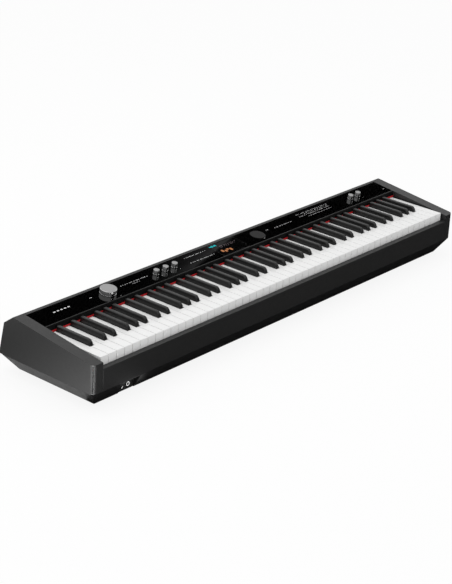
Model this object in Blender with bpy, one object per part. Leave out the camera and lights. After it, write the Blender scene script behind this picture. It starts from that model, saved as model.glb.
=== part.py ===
"""Digital stage piano with 88 keys, a sloped glossy control panel and a tapered lower tray.

Metres, +Z up, player at -Y. The origin is on the floor, under the middle of the case.
"""

import math

import bmesh
import bpy
from mathutils import Matrix, Vector

# Case: outer sizes
RAIL_HEIGHT = 0.0513
CHEEK_STEP = 0.0152
CHEEK_WIDTH = 0.0289
CHEEK_GAP = 0.0046
REAR_RISE = 0.0247
SHOULDER_BACK = 0.0274
SHOULDER_DROP = 0.0206
REAR_LEAN = 0.016
CORNER_RADIUS = 0.011
WALL = 0.003
FLANGE = 0.012
SEAT = 0.0003

# Lower tray: it tapers towards the floor, under a shadow groove
TRAY_HEIGHT = 0.0382
GROOVE_HEIGHT = 0.003
GROOVE_DEPTH = 0.007
TRAY_TOP_INSET = 0.004
TRAY_SIDE_INSET = 0.0305
TRAY_FRONT_INSET = 0.0257
TRAY_REAR_INSET = 0.0304
RIB_COUNT = 6
RIB_INSET = 0.0845
RIB_WIDTH = 0.003
FOOT_HEIGHT = 0.004
FOOT_RADIUS = 0.010
FOOT_SIDE_INSET = 0.0945
FOOT_END_INSET = 0.0652

# Keys
KEY_PITCH = 0.0235
KEY_GAP = 0.001
WHITE_COUNT = 52
KEY_TOP = 0.0717
KEY_SETBACK = 0.0131
WHITE_HEAD = 0.0501
WHITE_VISIBLE = 0.1517
SKIRT_DEPTH = 0.024
KEY_BODY = 0.016
BLACK_WIDTH = 0.011
BLACK_TOP_WIDTH = 0.0094
BLACK_HEIGHT = 0.012
BLACK_TIP = 0.0075
BLACK_GAP = 0.001
BLACK_SPREAD = {1: -0.0026, 3: 0.0026, 6: -0.0035, 8: 0.0, 10: 0.0035}
PIVOT_BACK = 0.206
PIVOT_DROP = 0.012
ROD_RADIUS = 0.002
KEY_TRAVEL = 0.010
TAIL_CLEARANCE = 0.001
BAR_BACK = 0.172
BAR_WIDTH = 0.018
BAR_HEIGHT = 0.0045
BAR_CLEARANCE = 0.0025

# Key bed
SHEET = 0.0016
BED_DROP = 0.054
STOP_WIDTH = 0.033
STOP_FELT = 0.003
STOP_MARGIN = 0.0006
STEP_START = 0.108
STEP_WIDTH = 0.044
STEP_DROP = 0.0303
UPSTAND = 0.0055
BOARD = 0.0016

# Control panel
PANEL_SETBACK = 0.0039
PANEL_LIP = 0.002
PANEL_SHEET = 0.0015
PANEL_PLATE = 0.0025
GLOSS_DEPTH = 0.0587
STRIP_WIDTH = 0.0076
FELT_DEPTH = 0.003
FELT_LOW = 0.0009
FELT_HIGH = 0.0045
BOARD_DEPTH = 0.011
SHAFT_RADIUS = 0.003
SHAFT_SLACK = 0.0003
VOLUME_INSET = 0.2156
VOLUME_RADIUS = 0.019
KNOB_HEIGHT = 0.012
EFFECT_OFFSET = -0.2485
TONE_INSET = 0.1121
SMALL_RADIUS = 0.0068
KNOB_SPACING = 0.030
DIAL_OFFSET = 0.1065
DIAL_RADIUS = 0.019
DIAL_RISE = 0.0008
DISPLAY_X = 0.001
DISPLAY_WIDTH = 0.090
DISPLAY_MARGIN = 0.00235
DISPLAY_BORDER = 0.0015
DISPLAY_BODY = 0.004

# Sockets
SOCKET_BORE = 0.0033
SOCKET_RING = 0.005
SOCKET_DEPTH = 0.022
SOCKET_BLOCK = 0.0135
POCKET_INSET = 0.124
POCKET_WIDTH = 0.047
POCKET_BACK = 0.0276
SOCKET_SPACING = 0.020
SOCKET_SHIFT = -0.005
SOCKET_HEIGHT = 0.013
RING_STANDOFF = 0.003
BAY_INSET = 0.1745
BAY_WIDTH = 0.180
BAY_HEIGHT = 0.030
BAY_LIFT = 0.018
BAY_ROOM = 0.0092
BUTTON_RADIUS = 0.006
BUTTON_TRAVEL = 0.002

# Worked out from the sizes above
REAR_HEIGHT = KEY_TOP + REAR_RISE
KEYBOARD_HALF = WHITE_COUNT * KEY_PITCH / 2
CHEEK_INNER = KEYBOARD_HALF + CHEEK_GAP
BODY_LENGTH = 2 * (CHEEK_INNER + CHEEK_WIDTH)
PANEL_SPAN = PANEL_LIP + GLOSS_DEPTH + STRIP_WIDTH
TOP_DEPTH = KEY_SETBACK + WHITE_VISIBLE + PANEL_SETBACK + PANEL_SPAN
BODY_DEPTH = TOP_DEPTH + SHOULDER_BACK + REAR_LEAN
FRONT_Y = -BODY_DEPTH / 2
REAR_Y = BODY_DEPTH / 2
CASE_Z = FOOT_HEIGHT + TRAY_HEIGHT
KEY_Y = FRONT_Y + KEY_SETBACK
KEY_Z = CASE_Z + KEY_TOP
CHEEK_TOP = RAIL_HEIGHT + CHEEK_STEP
TILT = math.atan2(REAR_HEIGHT - CHEEK_TOP, TOP_DEPTH)
PIVOT = Vector((0, KEY_Y + PIVOT_BACK, KEY_Z - PIVOT_DROP))
TRAY_TOP = CASE_Z - GROOVE_HEIGHT
FLOOR_Z = FOOT_HEIGHT + WALL
PANEL_FRONT = KEY_Y + WHITE_VISIBLE + PANEL_SETBACK
GLOSS_FRONT = PANEL_FRONT + PANEL_LIP
PANEL_REAR = FRONT_Y + TOP_DEPTH - STRIP_WIDTH
KNOB_ROW = (GLOSS_FRONT + PANEL_REAR) / 2
BED_Z = KEY_Z - BED_DROP
BORE = SHAFT_RADIUS + SHAFT_SLACK
PLATE_UNDER = PANEL_SHEET + SEAT + PANEL_PLATE
DISPLAY_DEPTH = GLOSS_DEPTH - 2 * DISPLAY_MARGIN
VOLUME_X = VOLUME_INSET - CHEEK_INNER
EFFECT_X = DISPLAY_X + EFFECT_OFFSET
DIAL_X = DISPLAY_X + DIAL_OFFSET
TONE_X = CHEEK_INNER - TONE_INSET - KNOB_SPACING
POCKET_X = POCKET_INSET - BODY_LENGTH / 2
BAY_X = BODY_LENGTH / 2 - BAY_INSET
RIB_SPREAD = BODY_LENGTH - 2 * RIB_INSET

ROUND = 24

NOTE_NAMES = ("c", "c_sharp", "d", "d_sharp", "e", "f", "f_sharp", "g", "g_sharp", "a", "a_sharp", "b")
FIRST_NOTE = 9
NOTE_COUNT = 88
MIDDLE = range(3 * 12, 5 * 12)


def clear_scene():
    for found in list(bpy.data.objects):
        bpy.data.objects.remove(found, do_unlink=True)


def material(name, colour, roughness, metallic=0.0):
    """One Principled material."""
    made = bpy.data.materials.get(name) or bpy.data.materials.new(name)
    made.use_nodes = True
    shader = made.node_tree.nodes["Principled BSDF"]
    shader.inputs["Base Color"].default_value = (*colour, 1)
    shader.inputs["Roughness"].default_value = roughness
    shader.inputs["Metallic"].default_value = metallic
    made.diffuse_color = (*colour, 1)
    return made


def place(name, shapes, look=None, origin=(0, 0, 0), turn=0.0):
    """One object from bmeshes drawn about its own origin. Without a look it is a hidden cutter."""
    mesh = bpy.data.meshes.new(name)
    joined = bmesh.new()
    for shape in shapes:
        bmesh.ops.recalc_face_normals(shape, faces=shape.faces)
        part = bpy.data.meshes.new("part")
        shape.to_mesh(part)
        shape.free()
        joined.from_mesh(part)
        bpy.data.meshes.remove(part)
    joined.to_mesh(mesh)
    joined.free()
    made = bpy.data.objects.new(name, mesh)
    made.location = origin
    made.rotation_euler = (turn, 0, 0)
    bpy.context.scene.collection.objects.link(made)
    if look:
        mesh.materials.append(look)
    else:
        made.hide_render = True
        made.display_type = "WIRE"
    return made


def boolean(target, operation, shapes, origin=(0, 0, 0), turn=0.0):
    """Adds the shapes to the target, or cuts them from it."""
    tool = place(target.name + "_" + operation.lower(), shapes, None, origin, turn)
    modifier = target.modifiers.new(operation.title(), "BOOLEAN")
    modifier.operation = operation
    modifier.solver = "EXACT"
    modifier.object = tool
    return target


def smooth(made, degrees=35):
    made.data.shade_smooth()
    made.data.set_sharp_from_angle(angle=math.radians(degrees))
    return made


def prism(profile, low, high):
    """A (y, z) outline drawn out along X."""
    shape = bmesh.new()
    face = shape.faces.new([shape.verts.new((low, y, z)) for y, z in profile])
    grown = bmesh.ops.extrude_face_region(shape, geom=[face])["geom"]
    moved = [item for item in grown if isinstance(item, bmesh.types.BMVert)]
    bmesh.ops.translate(shape, verts=moved, vec=(high - low, 0, 0))
    return shape


def box(low, high):
    """A block between two opposite corners."""
    shape = bmesh.new()
    size = Vector(high) - Vector(low)
    bmesh.ops.create_cube(shape, size=1, matrix=Matrix.Diagonal((*size, 1)))
    bmesh.ops.translate(shape, verts=shape.verts, vec=(Vector(high) + Vector(low)) / 2)
    return shape


def taper(low, high, top_inset, low_z, high_z):
    """A block whose top outline is drawn in by (side, front, rear); a negative inset widens it."""
    side, front, rear = top_inset
    shape = bmesh.new()
    corners = [(low[0], low[1]), (high[0], low[1]), (high[0], high[1]), (low[0], high[1])]
    drawn = [
        (low[0] + side, low[1] + front),
        (high[0] - side, low[1] + front),
        (high[0] - side, high[1] - rear),
        (low[0] + side, high[1] - rear),
    ]
    lower = [shape.verts.new((x, y, low_z)) for x, y in corners]
    upper = [shape.verts.new((x, y, high_z)) for x, y in drawn]
    shape.faces.new(lower)
    shape.faces.new(upper)
    for i in range(4):
        j = (i + 1) % 4
        shape.faces.new((lower[i], lower[j], upper[j], upper[i]))
    return shape


def turned(profile, segments=ROUND, along="Z", at=(0, 0, 0)):
    """A (radius, height) outline turned about its own axis, which then points along Z or Y."""
    shape = bmesh.new()
    rings = []
    for radius, height in profile:
        if radius == 0:
            rings.append([shape.verts.new((0, 0, height))])
            continue
        angles = [2 * math.pi * i / segments for i in range(segments)]
        rings.append([shape.verts.new((radius * math.cos(a), radius * math.sin(a), height)) for a in angles])
    for first, second in zip(rings, rings[1:]):
        for i in range(segments):
            j = (i + 1) % segments
            corners = [first[i % len(first)], first[j % len(first)]]
            corners += [second[j % len(second)], second[i % len(second)]]
            unique = list(dict.fromkeys(corners))
            if len(unique) > 2:
                shape.faces.new(unique)
    if along == "Y":
        bmesh.ops.rotate(shape, verts=shape.verts, matrix=Matrix.Rotation(-math.pi / 2, 3, "X"))
    bmesh.ops.translate(shape, verts=shape.verts, vec=at)
    return shape


def disc(radius, low, high, segments=ROUND, along="Z", at=(0, 0, 0)):
    """A plain cylinder between two heights."""
    return turned([(0, low), (radius, low), (radius, high), (0, high)], segments, along, at)


def socket(at, outward):
    """A jack socket along Y: a block behind the wall, and a round ring with a bore through it."""
    half = SOCKET_BLOCK / 2
    x, y, z = at
    inner = y - outward * SOCKET_DEPTH
    block = box((x - half, min(y, inner), z - half), (x + half, max(y, inner), z + half))
    tip = outward * (WALL + SEAT + RING_STANDOFF)
    ends = sorted((-outward * WALL, tip))
    ring = disc(SOCKET_RING, *ends, 20, "Y", at)
    ends = sorted((outward * WALL - outward * (SOCKET_DEPTH - WALL), tip + outward * WALL))
    bore = disc(SOCKET_BORE, *ends, 16, "Y", at)
    return block, ring, bore


def panel_point(y, depth):
    """(y, z) of the point a given depth under the sloped top plane, measured square to it."""
    z = CASE_Z + CHEEK_TOP + (y - FRONT_Y) * math.tan(TILT)
    return y + depth * math.sin(TILT), z - depth * math.cos(TILT)


def panel_place(x, y, depth=0.0):
    y, z = panel_point(y, depth)
    return Vector((x, y, z))


def side_outline(inset=0.0):
    """The end cheek's outline, as (y, z), drawn in by a wall all round."""
    corners = [
        Vector((FRONT_Y, CASE_Z)),
        Vector((FRONT_Y, CASE_Z + CHEEK_TOP)),
        Vector((FRONT_Y + TOP_DEPTH, CASE_Z + REAR_HEIGHT)),
        Vector((FRONT_Y + TOP_DEPTH + SHOULDER_BACK, CASE_Z + REAR_HEIGHT - SHOULDER_DROP)),
        Vector((REAR_Y, CASE_Z)),
    ]
    return offset(corners, inset, True)


def offset(points, distance, closed):
    """Moves an outline that runs clockwise, seen from +X, in by a distance with mitred corners."""
    moved = []
    count = len(points)
    for i, point in enumerate(points):
        before = points[i - 1] if closed or i else None
        after = points[(i + 1) % count] if closed or i < count - 1 else None
        normals = []
        for start, end in ((before, point), (point, after)):
            if start is None or end is None:
                continue
            along = (end - start).normalized()
            normals.append(Vector((along.y, -along.x)))
        middle = sum(normals, Vector((0, 0))).normalized()
        moved.append(point + middle * (distance / middle.dot(normals[0])))
    return moved


def end_cheek(name, side, look):
    """A hollow moulded end block, open towards the key bed under the keys."""
    outer = side * BODY_LENGTH / 2
    inner = side * CHEEK_INNER
    shape = prism(side_outline(), *sorted((inner, outer)))

    def upright(edge):
        return all(abs(v.co.x - outer) < SEAT and abs(v.co.y - FRONT_Y) < SEAT for v in edge.verts)

    bmesh.ops.bevel(
        shape, geom=[e for e in shape.edges if upright(e)], offset=CORNER_RADIUS,
        segments=5, profile=0.5, affect="EDGES",
    )
    made = place(name, [shape], look)
    wall = side * WALL
    boolean(made, "DIFFERENCE", [prism(side_outline(WALL), *sorted((inner + wall, outer - wall)))])
    hatch_top = KEY_Z - SKIRT_DEPTH
    low = (inner - wall, FRONT_Y + FLANGE, CASE_Z + WALL)
    high = (inner + 2 * wall, PIVOT.y, hatch_top)
    corners = [sorted(pair) for pair in zip(low, high)]
    boolean(made, "DIFFERENCE", [box([c[0] for c in corners], [c[1] for c in corners])])
    return smooth(made)


def front_rail(look):
    """The key slip: front wall, sloped ledge before the keys, and a bottom flange on the tray."""
    rail_z = CASE_Z + RAIL_HEIGHT
    ledge_y = KEY_Y - KEY_GAP
    ledge_z = rail_z + TAIL_CLEARANCE
    profile = [
        (FRONT_Y, CASE_Z),
        (FRONT_Y, rail_z),
        (ledge_y, ledge_z),
        (ledge_y, ledge_z - 2.5 * WALL),
        (ledge_y - WALL, ledge_z - 2.5 * WALL),
        (ledge_y - WALL, rail_z - WALL),
        (FRONT_Y + WALL, rail_z - WALL),
        (FRONT_Y + WALL, CASE_Z + WALL),
        (FRONT_Y + FLANGE, CASE_Z + WALL),
        (FRONT_Y + FLANGE, CASE_Z),
    ]
    half = CHEEK_INNER - SEAT
    return place("front_rail", [prism(profile, -half, half)], look)


def bay_places():
    """Where the sockets sit along the rear bay, as (twin left, twin right, pedal, inlet, button)."""
    step = BAY_WIDTH / 6
    return [BAY_X + step * i for i in (-2.2, -1.2, 0, 1.2, 2.2)]


def bay_wall():
    """y of the outer face of the rear bay's upright back wall."""
    return PIVOT.y + SEAT + UPSTAND + BAY_ROOM + SOCKET_DEPTH + SEAT + WALL


def bay_centre():
    return CASE_Z + BAY_LIFT + BAY_HEIGHT / 2


def rear_face(z):
    """y of the leaning rear face at a height."""
    top_y = FRONT_Y + TOP_DEPTH + SHOULDER_BACK
    return REAR_Y - (z - CASE_Z) * (REAR_Y - top_y) / (REAR_HEIGHT - SHOULDER_DROP)


def rear_cover(look):
    """The strip behind the panel, the sloped shoulder, the rear wall and its socket bay."""
    start = PANEL_REAR + SEAT
    outer = [Vector(panel_point(start, 0))] + side_outline()[2:] + [Vector((REAR_Y - FLANGE, CASE_Z))]
    inner = offset(outer, WALL, False)
    half = CHEEK_INNER - SEAT
    made = place("rear_cover", [prism([*outer, *reversed(inner)], -half, half)], look)
    low_z, high_z = CASE_Z + BAY_LIFT, CASE_Z + BAY_LIFT + BAY_HEIGHT
    left, right = BAY_X - BAY_WIDTH / 2, BAY_X + BAY_WIDTH / 2
    back = bay_wall()
    skin = WALL / 2
    shell = [
        (back - WALL, low_z - WALL), (back - WALL, high_z + WALL),
        (rear_face(high_z + WALL) - skin, high_z + WALL), (rear_face(low_z - WALL) - skin, low_z - WALL),
    ]
    boolean(made, "UNION", [prism(shell, left - WALL, right + WALL)])
    boolean(made, "DIFFERENCE", [box((left, back, low_z), (right, REAR_Y + WALL, high_z))])
    centre = bay_centre()
    holes = []
    for x, radius in zip(bay_places(), (SOCKET_RING,) * 4 + (BUTTON_RADIUS,)):
        holes.append(disc(radius + SEAT, -2 * WALL, WALL, 20, "Y", (x, back, centre)))
    return boolean(made, "DIFFERENCE", holes)


def bottom_tray(look):
    """The tapered lower tray with its neck, ribs, board posts and the headphone pocket."""
    half = BODY_LENGTH / 2
    low = (-half + TRAY_SIDE_INSET, FRONT_Y + TRAY_FRONT_INSET)
    high = (half - TRAY_SIDE_INSET, REAR_Y - TRAY_REAR_INSET)
    spread = (
        TRAY_TOP_INSET - TRAY_SIDE_INSET,
        TRAY_TOP_INSET - TRAY_FRONT_INSET,
        TRAY_TOP_INSET - TRAY_REAR_INSET,
    )
    made = place("bottom_tray", [taper(low, high, spread, FOOT_HEIGHT, TRAY_TOP)], look)
    neck = half - GROOVE_DEPTH
    neck_box = box(
        (-neck, FRONT_Y + GROOVE_DEPTH, TRAY_TOP - WALL), (neck, REAR_Y - GROOVE_DEPTH, CASE_Z - SEAT)
    )
    boolean(made, "UNION", [neck_box])
    pocket_y = FRONT_Y + POCKET_BACK
    pocket_low = POCKET_X - POCKET_WIDTH / 2
    pocket_high = POCKET_X + POCKET_WIDTH / 2
    cut_low = (low[0] + WALL, low[1] + WALL)
    cut_high = (high[0] - WALL, high[1] - WALL)
    rise = (CASE_Z - FLOOR_Z) / (TRAY_TOP - FOOT_HEIGHT)
    cut_spread = tuple(rise * (value + GROOVE_DEPTH - TRAY_TOP_INSET) for value in spread)
    cavity = place("tray_cavity", [taper(cut_low, cut_high, cut_spread, FLOOR_Z, CASE_Z)])
    boolean(cavity, "DIFFERENCE", [
        box(
            (pocket_low - WALL, FRONT_Y, FOOT_HEIGHT),
            (pocket_high + WALL, pocket_y + WALL, TRAY_TOP + SEAT),
        )
    ])
    hollow = made.modifiers.new("Hollow", "BOOLEAN")
    hollow.operation = "DIFFERENCE"
    hollow.solver = "EXACT"
    hollow.object = cavity
    socket_z = FOOT_HEIGHT + SOCKET_HEIGHT
    cuts = [box((pocket_low, FRONT_Y - WALL, FOOT_HEIGHT - WALL), (pocket_high, pocket_y, TRAY_TOP - WALL / 2))]
    boolean(made, "DIFFERENCE", cuts)
    bores = [
        disc(SOCKET_RING + SEAT, -WALL, 2 * WALL, 20, "Y", (x, pocket_y, socket_z)) for x in pocket_places()
    ]
    boolean(made, "DIFFERENCE", bores)
    rib_low = low[1] + WALL / 2
    rib_high = high[1] - WALL / 2
    ribs = []
    for i in range(RIB_COUNT):
        x = RIB_SPREAD * (i / (RIB_COUNT - 1) - 0.5)
        ribs.append(box(
            (x - RIB_WIDTH / 2, max(rib_low, pocket_y + 2 * WALL), FLOOR_Z - WALL / 2),
            (x + RIB_WIDTH / 2, rib_high, BED_Z - SHEET - SEAT),
        ))
    boolean(made, "UNION", ribs)
    posts = [disc(WALL, -WALL / 2, 2 * WALL, 8, "Z", (x, y, FLOOR_Z)) for x, y in main_board_posts()]
    return boolean(made, "UNION", posts)


def pocket_places():
    """x of the two headphone sockets, which sit a little left of the pocket's middle."""
    middle = POCKET_X + SOCKET_SHIFT
    return middle - SOCKET_SPACING / 2, middle + SOCKET_SPACING / 2


def main_board_outline():
    """The main board fills most of the bay between the last two ribs."""
    step = RIB_SPREAD / (RIB_COUNT - 1)
    right = RIB_SPREAD / 2 - 2 * WALL
    return right - step + 4 * WALL, PIVOT.y - 0.4 * step, right, PIVOT.y


def main_board_posts():
    left, front, right, rear = main_board_outline()
    inset = 2 * WALL
    return [(x, y) for x in (left + inset, right - inset) for y in (front + inset, rear - inset)]


def main_board(look):
    """The sound board on its posts, with chips and capacitors."""
    left, front, right, rear = main_board_outline()
    low_z = FLOOR_Z + 2 * WALL + SEAT
    made = place("main_board", [box((left, front, low_z), (right, rear, low_z + BOARD))], look)
    chips = []
    width = right - left
    for share, size, height in ((0.2, 0.014, 0.002), (0.45, 0.02, 0.0025), (0.8, 0.01, 0.002)):
        x = left + share * width
        y = (front + rear) / 2
        chips.append(box((x - size / 2, y - size / 2, low_z), (x + size / 2, y + size / 2, low_z + BOARD + height)))
    for share in (0.3, 0.6, 0.7):
        at = (left + share * width, front + 4 * WALL, low_z)
        chips.append(disc(WALL, BOARD / 2, BOARD + 3 * WALL, 12, "Z", at))
    return boolean(made, "UNION", chips)


def headphone_jack(name, x, look):
    y = FRONT_Y + POCKET_BACK + WALL + SEAT
    block, ring, bore = socket((x, y, FOOT_HEIGHT + SOCKET_HEIGHT), -1)
    made = place(name, [block], look)
    boolean(made, "UNION", [ring])
    return boolean(made, "DIFFERENCE", [bore])


def rear_socket(name, places, look):
    """One block behind the rear bay with a ringed bore at each place."""
    y = bay_wall() - WALL - SEAT
    parts = [socket((x, y, bay_centre()), 1) for x in places]
    half = SOCKET_BLOCK / 2
    block = box(
        (places[0] - half, y - SOCKET_DEPTH, bay_centre() - half), (places[-1] + half, y, bay_centre() + half)
    )
    made = place(name, [block], look)
    for part in parts:
        part[0].free()
    boolean(made, "UNION", [part[1] for part in parts])
    return boolean(made, "DIFFERENCE", [part[2] for part in parts])


def power_inlet(x, look):
    """The low-voltage inlet: a barrel socket with its centre pin."""
    made = rear_socket("power_inlet", [x], look)
    wall_y = bay_wall() - WALL
    pin = disc(ROD_RADIUS / 2, WALL - SOCKET_DEPTH, 0, 12, "Y", (x, wall_y, bay_centre()))
    return boolean(made, "UNION", [pin])


def power_button(x, look):
    """A round push button whose stem slides in the rear bay wall."""
    outer = WALL + RING_STANDOFF
    stem = WALL + SEAT + BUTTON_TRAVEL
    profile = [
        (0, -stem - WALL), (BUTTON_RADIUS + WALL / 2, -stem - WALL), (BUTTON_RADIUS + WALL / 2, -WALL - SEAT),
        (BUTTON_RADIUS, -WALL - SEAT), (BUTTON_RADIUS, outer - WALL / 3),
        (BUTTON_RADIUS - WALL / 3, outer), (0, outer),
    ]
    made = place("power_button", [turned(profile, 20, "Y")], look, (x, bay_wall(), bay_centre()))
    return smooth(made)


def note_layout():
    """(name, semitone, left white edge or None, black centre or None, absolute note) for every key."""
    keys = []
    whites = 0
    for i in range(NOTE_COUNT):
        note = FIRST_NOTE + i
        semitone = note % 12
        edge = whites * KEY_PITCH - KEYBOARD_HALF
        name = f"{NOTE_NAMES[semitone]}{note // 12}"
        black = semitone in BLACK_SPREAD
        keys.append((name, semitone, black, edge, note))
        whites += not black
    return keys


def white_sides(index, keys):
    """x of a white key's head edges and of its narrower tail's edges."""
    name, semitone, black, edge, note = keys[index]
    low, high = edge + KEY_GAP / 2, edge + KEY_PITCH - KEY_GAP / 2
    reach = BLACK_WIDTH / 2 + BLACK_GAP
    tail_low, tail_high = low, high
    if index and keys[index - 1][2]:
        tail_low = edge + BLACK_SPREAD[keys[index - 1][1]] + reach
    if index + 1 < len(keys) and keys[index + 1][2]:
        tail_high = edge + KEY_PITCH + BLACK_SPREAD[keys[index + 1][1]] - reach
    return low, high, tail_low, tail_high


def pivot_notch():
    """The half-round seat that a key's rear end has for the pivot rod, from top to bottom."""
    radius = ROD_RADIUS + SEAT
    reach = math.acos(TAIL_CLEARANCE / radius)
    steps = 4
    points = []
    for i in range(steps + 1):
        angle = math.pi - reach + 2 * reach * i / steps
        points.append((radius * math.cos(angle), radius * math.sin(angle)))
    return points


def white_shapes(index, keys):
    """Head and tail of one white key, about the pivot rod's axis."""
    low, high, tail_low, tail_high = white_sides(index, keys)
    top, bottom = PIVOT_DROP, PIVOT_DROP - KEY_BODY
    head = box((low, -PIVOT_BACK, PIVOT_DROP - SKIRT_DEPTH), (high, WHITE_HEAD - PIVOT_BACK, top))
    end = -TAIL_CLEARANCE
    start = WHITE_HEAD * 0.8 - PIVOT_BACK
    profile = [(start, bottom), (start, top), (end, top), *pivot_notch(), (end, bottom)]
    return head, prism(profile, tail_low, tail_high)


def black_centre(key):
    return key[3] + BLACK_SPREAD[key[1]]


def bar_span():
    return BAR_BACK - PIVOT_BACK, BAR_BACK + BAR_WIDTH - PIVOT_BACK


def bar_dip():
    """How far the front edge of the joining bars sinks when a key is fully down."""
    return (PIVOT_BACK - BAR_BACK) * KEY_TRAVEL / PIVOT_BACK


def black_shapes(key):
    """Cap and arm of one black key, about the pivot rod's axis."""
    centre = black_centre(key)
    top, bottom = PIVOT_DROP, PIVOT_DROP - KEY_BODY
    front = WHITE_HEAD + BLACK_GAP - PIVOT_BACK
    cap_end = WHITE_VISIBLE - TAIL_CLEARANCE - PIVOT_BACK
    half = BLACK_WIDTH / 2
    narrow = (BLACK_WIDTH - BLACK_TOP_WIDTH) / 2
    cap = taper(
        (centre - half, front), (centre + half, cap_end), (narrow, BLACK_TIP, 0),
        top - TAIL_CLEARANCE * 2, top + BLACK_HEIGHT,
    )
    bar_low, bar_high = bar_span()
    shelf = top - TAIL_CLEARANCE - BAR_HEIGHT - bar_dip() - TAIL_CLEARANCE
    under = bottom - bar_dip() - TAIL_CLEARANCE - BAR_HEIGHT
    end = -TAIL_CLEARANCE
    profile = [
        (front + KEY_GAP, bottom), (front + KEY_GAP, top - TAIL_CLEARANCE),
        (bar_low - BAR_CLEARANCE, top - TAIL_CLEARANCE), (bar_low - BAR_CLEARANCE, shelf),
        (end, shelf), *pivot_notch(), (end, bottom),
        (bar_high + KEY_GAP, bottom), (bar_high + KEY_GAP, under),
        (bar_low - KEY_GAP, under), (bar_low - KEY_GAP, bottom),
    ]
    return cap, prism(profile, centre - half + KEY_GAP / 4, centre + half - KEY_GAP / 4)


def keys_object(name, chosen, keys, black, look):
    """One key, or a comb of keys that a rear bar joins, on the pivot rod's axis."""
    if black:
        pairs = [black_shapes(keys[i]) for i in chosen]
    else:
        pairs = [white_shapes(i, keys) for i in chosen]
    made = place(name, [pair[1] for pair in pairs], look, PIVOT)
    boolean(made, "UNION", [pair[0] for pair in pairs], PIVOT)
    if len(chosen) > 1:
        bar_low, bar_high = bar_span()
        if black:
            left = black_centre(keys[chosen[0]])
            right = black_centre(keys[chosen[-1]])
            high = PIVOT_DROP - KEY_BODY - bar_dip() - TAIL_CLEARANCE
        else:
            left = white_sides(chosen[0], keys)[0] + KEY_GAP
            right = white_sides(chosen[-1], keys)[1] - KEY_GAP
            high = PIVOT_DROP - TAIL_CLEARANCE
        low = high - BAR_HEIGHT + KEY_GAP / 2
        boolean(made, "UNION", [box((left, bar_low, low), (right, bar_high, high))], PIVOT)
    return made


def keyboard(ivory, ebony):
    """Two middle octaves of single keys, with a white and a black comb on either side."""
    keys = note_layout()
    groups = {"low_white_keys": [], "low_black_keys": [], "high_white_keys": [], "high_black_keys": []}
    for index, (name, semitone, black, edge, note) in enumerate(keys):
        if note in MIDDLE:
            keys_object("key_" + name, [index], keys, black, ebony if black else ivory)
            continue
        side = "low" if note < MIDDLE.start else "high"
        groups[f"{side}_{'black' if black else 'white'}_keys"].append(index)
    for name, chosen in groups.items():
        black = "black" in name
        keys_object(name, chosen, keys, black, ebony if black else ivory)


def key_chassis(look):
    """The folded steel key bed: stop shelf, step for the contact board, and the pivot upstand."""
    stop_z = KEY_Z - SKIRT_DEPTH - KEY_TRAVEL - STOP_MARGIN - STOP_FELT - SEAT
    step_z = KEY_Z - STEP_DROP
    slant = 2 * WALL
    shelf_end = KEY_Y + WALL + STOP_WIDTH
    step_low, step_high = KEY_Y + STEP_START, KEY_Y + STEP_START + STEP_WIDTH
    rear = PIVOT.y + SEAT
    top = [
        (KEY_Y + WALL, stop_z), (shelf_end, stop_z), (shelf_end + slant, BED_Z), (step_low - slant, BED_Z),
        (step_low, step_z), (step_high, step_z), (step_high + slant, BED_Z), (rear + UPSTAND, BED_Z),
    ]
    top = [Vector(point) for point in top]
    half = CHEEK_INNER - SEAT
    made = place("key_chassis", [prism([*top, *reversed(offset(top, SHEET, False))], -half, half)], look)
    upstand = box((-half, rear, BED_Z - SHEET / 2), (half, rear + UPSTAND, PIVOT.z + 2 * WALL))
    boolean(made, "UNION", [upstand])
    groove = [(PIVOT.y + y, PIVOT.z + z) for y, z in circle(ROD_RADIUS + SEAT, 12)]
    return boolean(made, "DIFFERENCE", [prism(groove, -half - WALL, half + WALL)])


def circle(radius, segments):
    angles = [2 * math.pi * (i + 0.5) / segments for i in range(segments)]
    return [(radius * math.cos(a), radius * math.sin(a)) for a in angles]


def pivot_rod(look):
    """The steel rod that every key turns on."""
    half = CHEEK_INNER - 2 * SEAT
    made = place("key_pivot_rod", [prism(circle(ROD_RADIUS, 12), -half, half)], look, PIVOT)
    return smooth(made)


def key_felts(look):
    """The red strip behind the visible keys, and the red stop strip under their fronts."""
    half = CHEEK_INNER - SEAT
    felt_y = KEY_Y + WHITE_VISIBLE
    low = (-half, felt_y, KEY_Z + FELT_LOW)
    place("felt_strip", [box(low, (half, felt_y + FELT_DEPTH, KEY_Z + FELT_HIGH))], look)
    top = KEY_Z - SKIRT_DEPTH - KEY_TRAVEL - STOP_MARGIN
    low = (-half, KEY_Y + 2 * WALL, top - STOP_FELT)
    place("key_stop_felt", [box(low, (half, KEY_Y + STOP_WIDTH, top))], look)


def contact_board(look):
    """The sensor board under the keys, with its rubber contact strip."""
    low_z = KEY_Z - STEP_DROP + SEAT
    low_y, high_y = KEY_Y + STEP_START + KEY_GAP, KEY_Y + STEP_START + STEP_WIDTH - KEY_GAP
    ridge = (low_y + high_y) / 2
    profile = [
        (low_y, low_z), (low_y, low_z + BOARD), (ridge - 2 * WALL, low_z + BOARD),
        (ridge - WALL, low_z + BOARD + WALL), (ridge + WALL, low_z + BOARD + WALL),
        (ridge + 2 * WALL, low_z + BOARD), (high_y, low_z + BOARD), (high_y, low_z),
    ]
    return place("contact_board", [prism(profile, -KEYBOARD_HALF, KEYBOARD_HALF)], look)


def controls():
    """(name, x, radius) of everything on the panel that turns."""
    found = [("volume_knob", VOLUME_X, VOLUME_RADIUS)]
    found += [(f"effect_knob_{i + 1}", EFFECT_X + i * KNOB_SPACING, SMALL_RADIUS) for i in range(3)]
    found += [(f"tone_knob_{i + 1}", TONE_X + i * KNOB_SPACING, SMALL_RADIUS) for i in range(2)]
    return found + [("data_wheel", DIAL_X, DIAL_RADIUS)]


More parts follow.
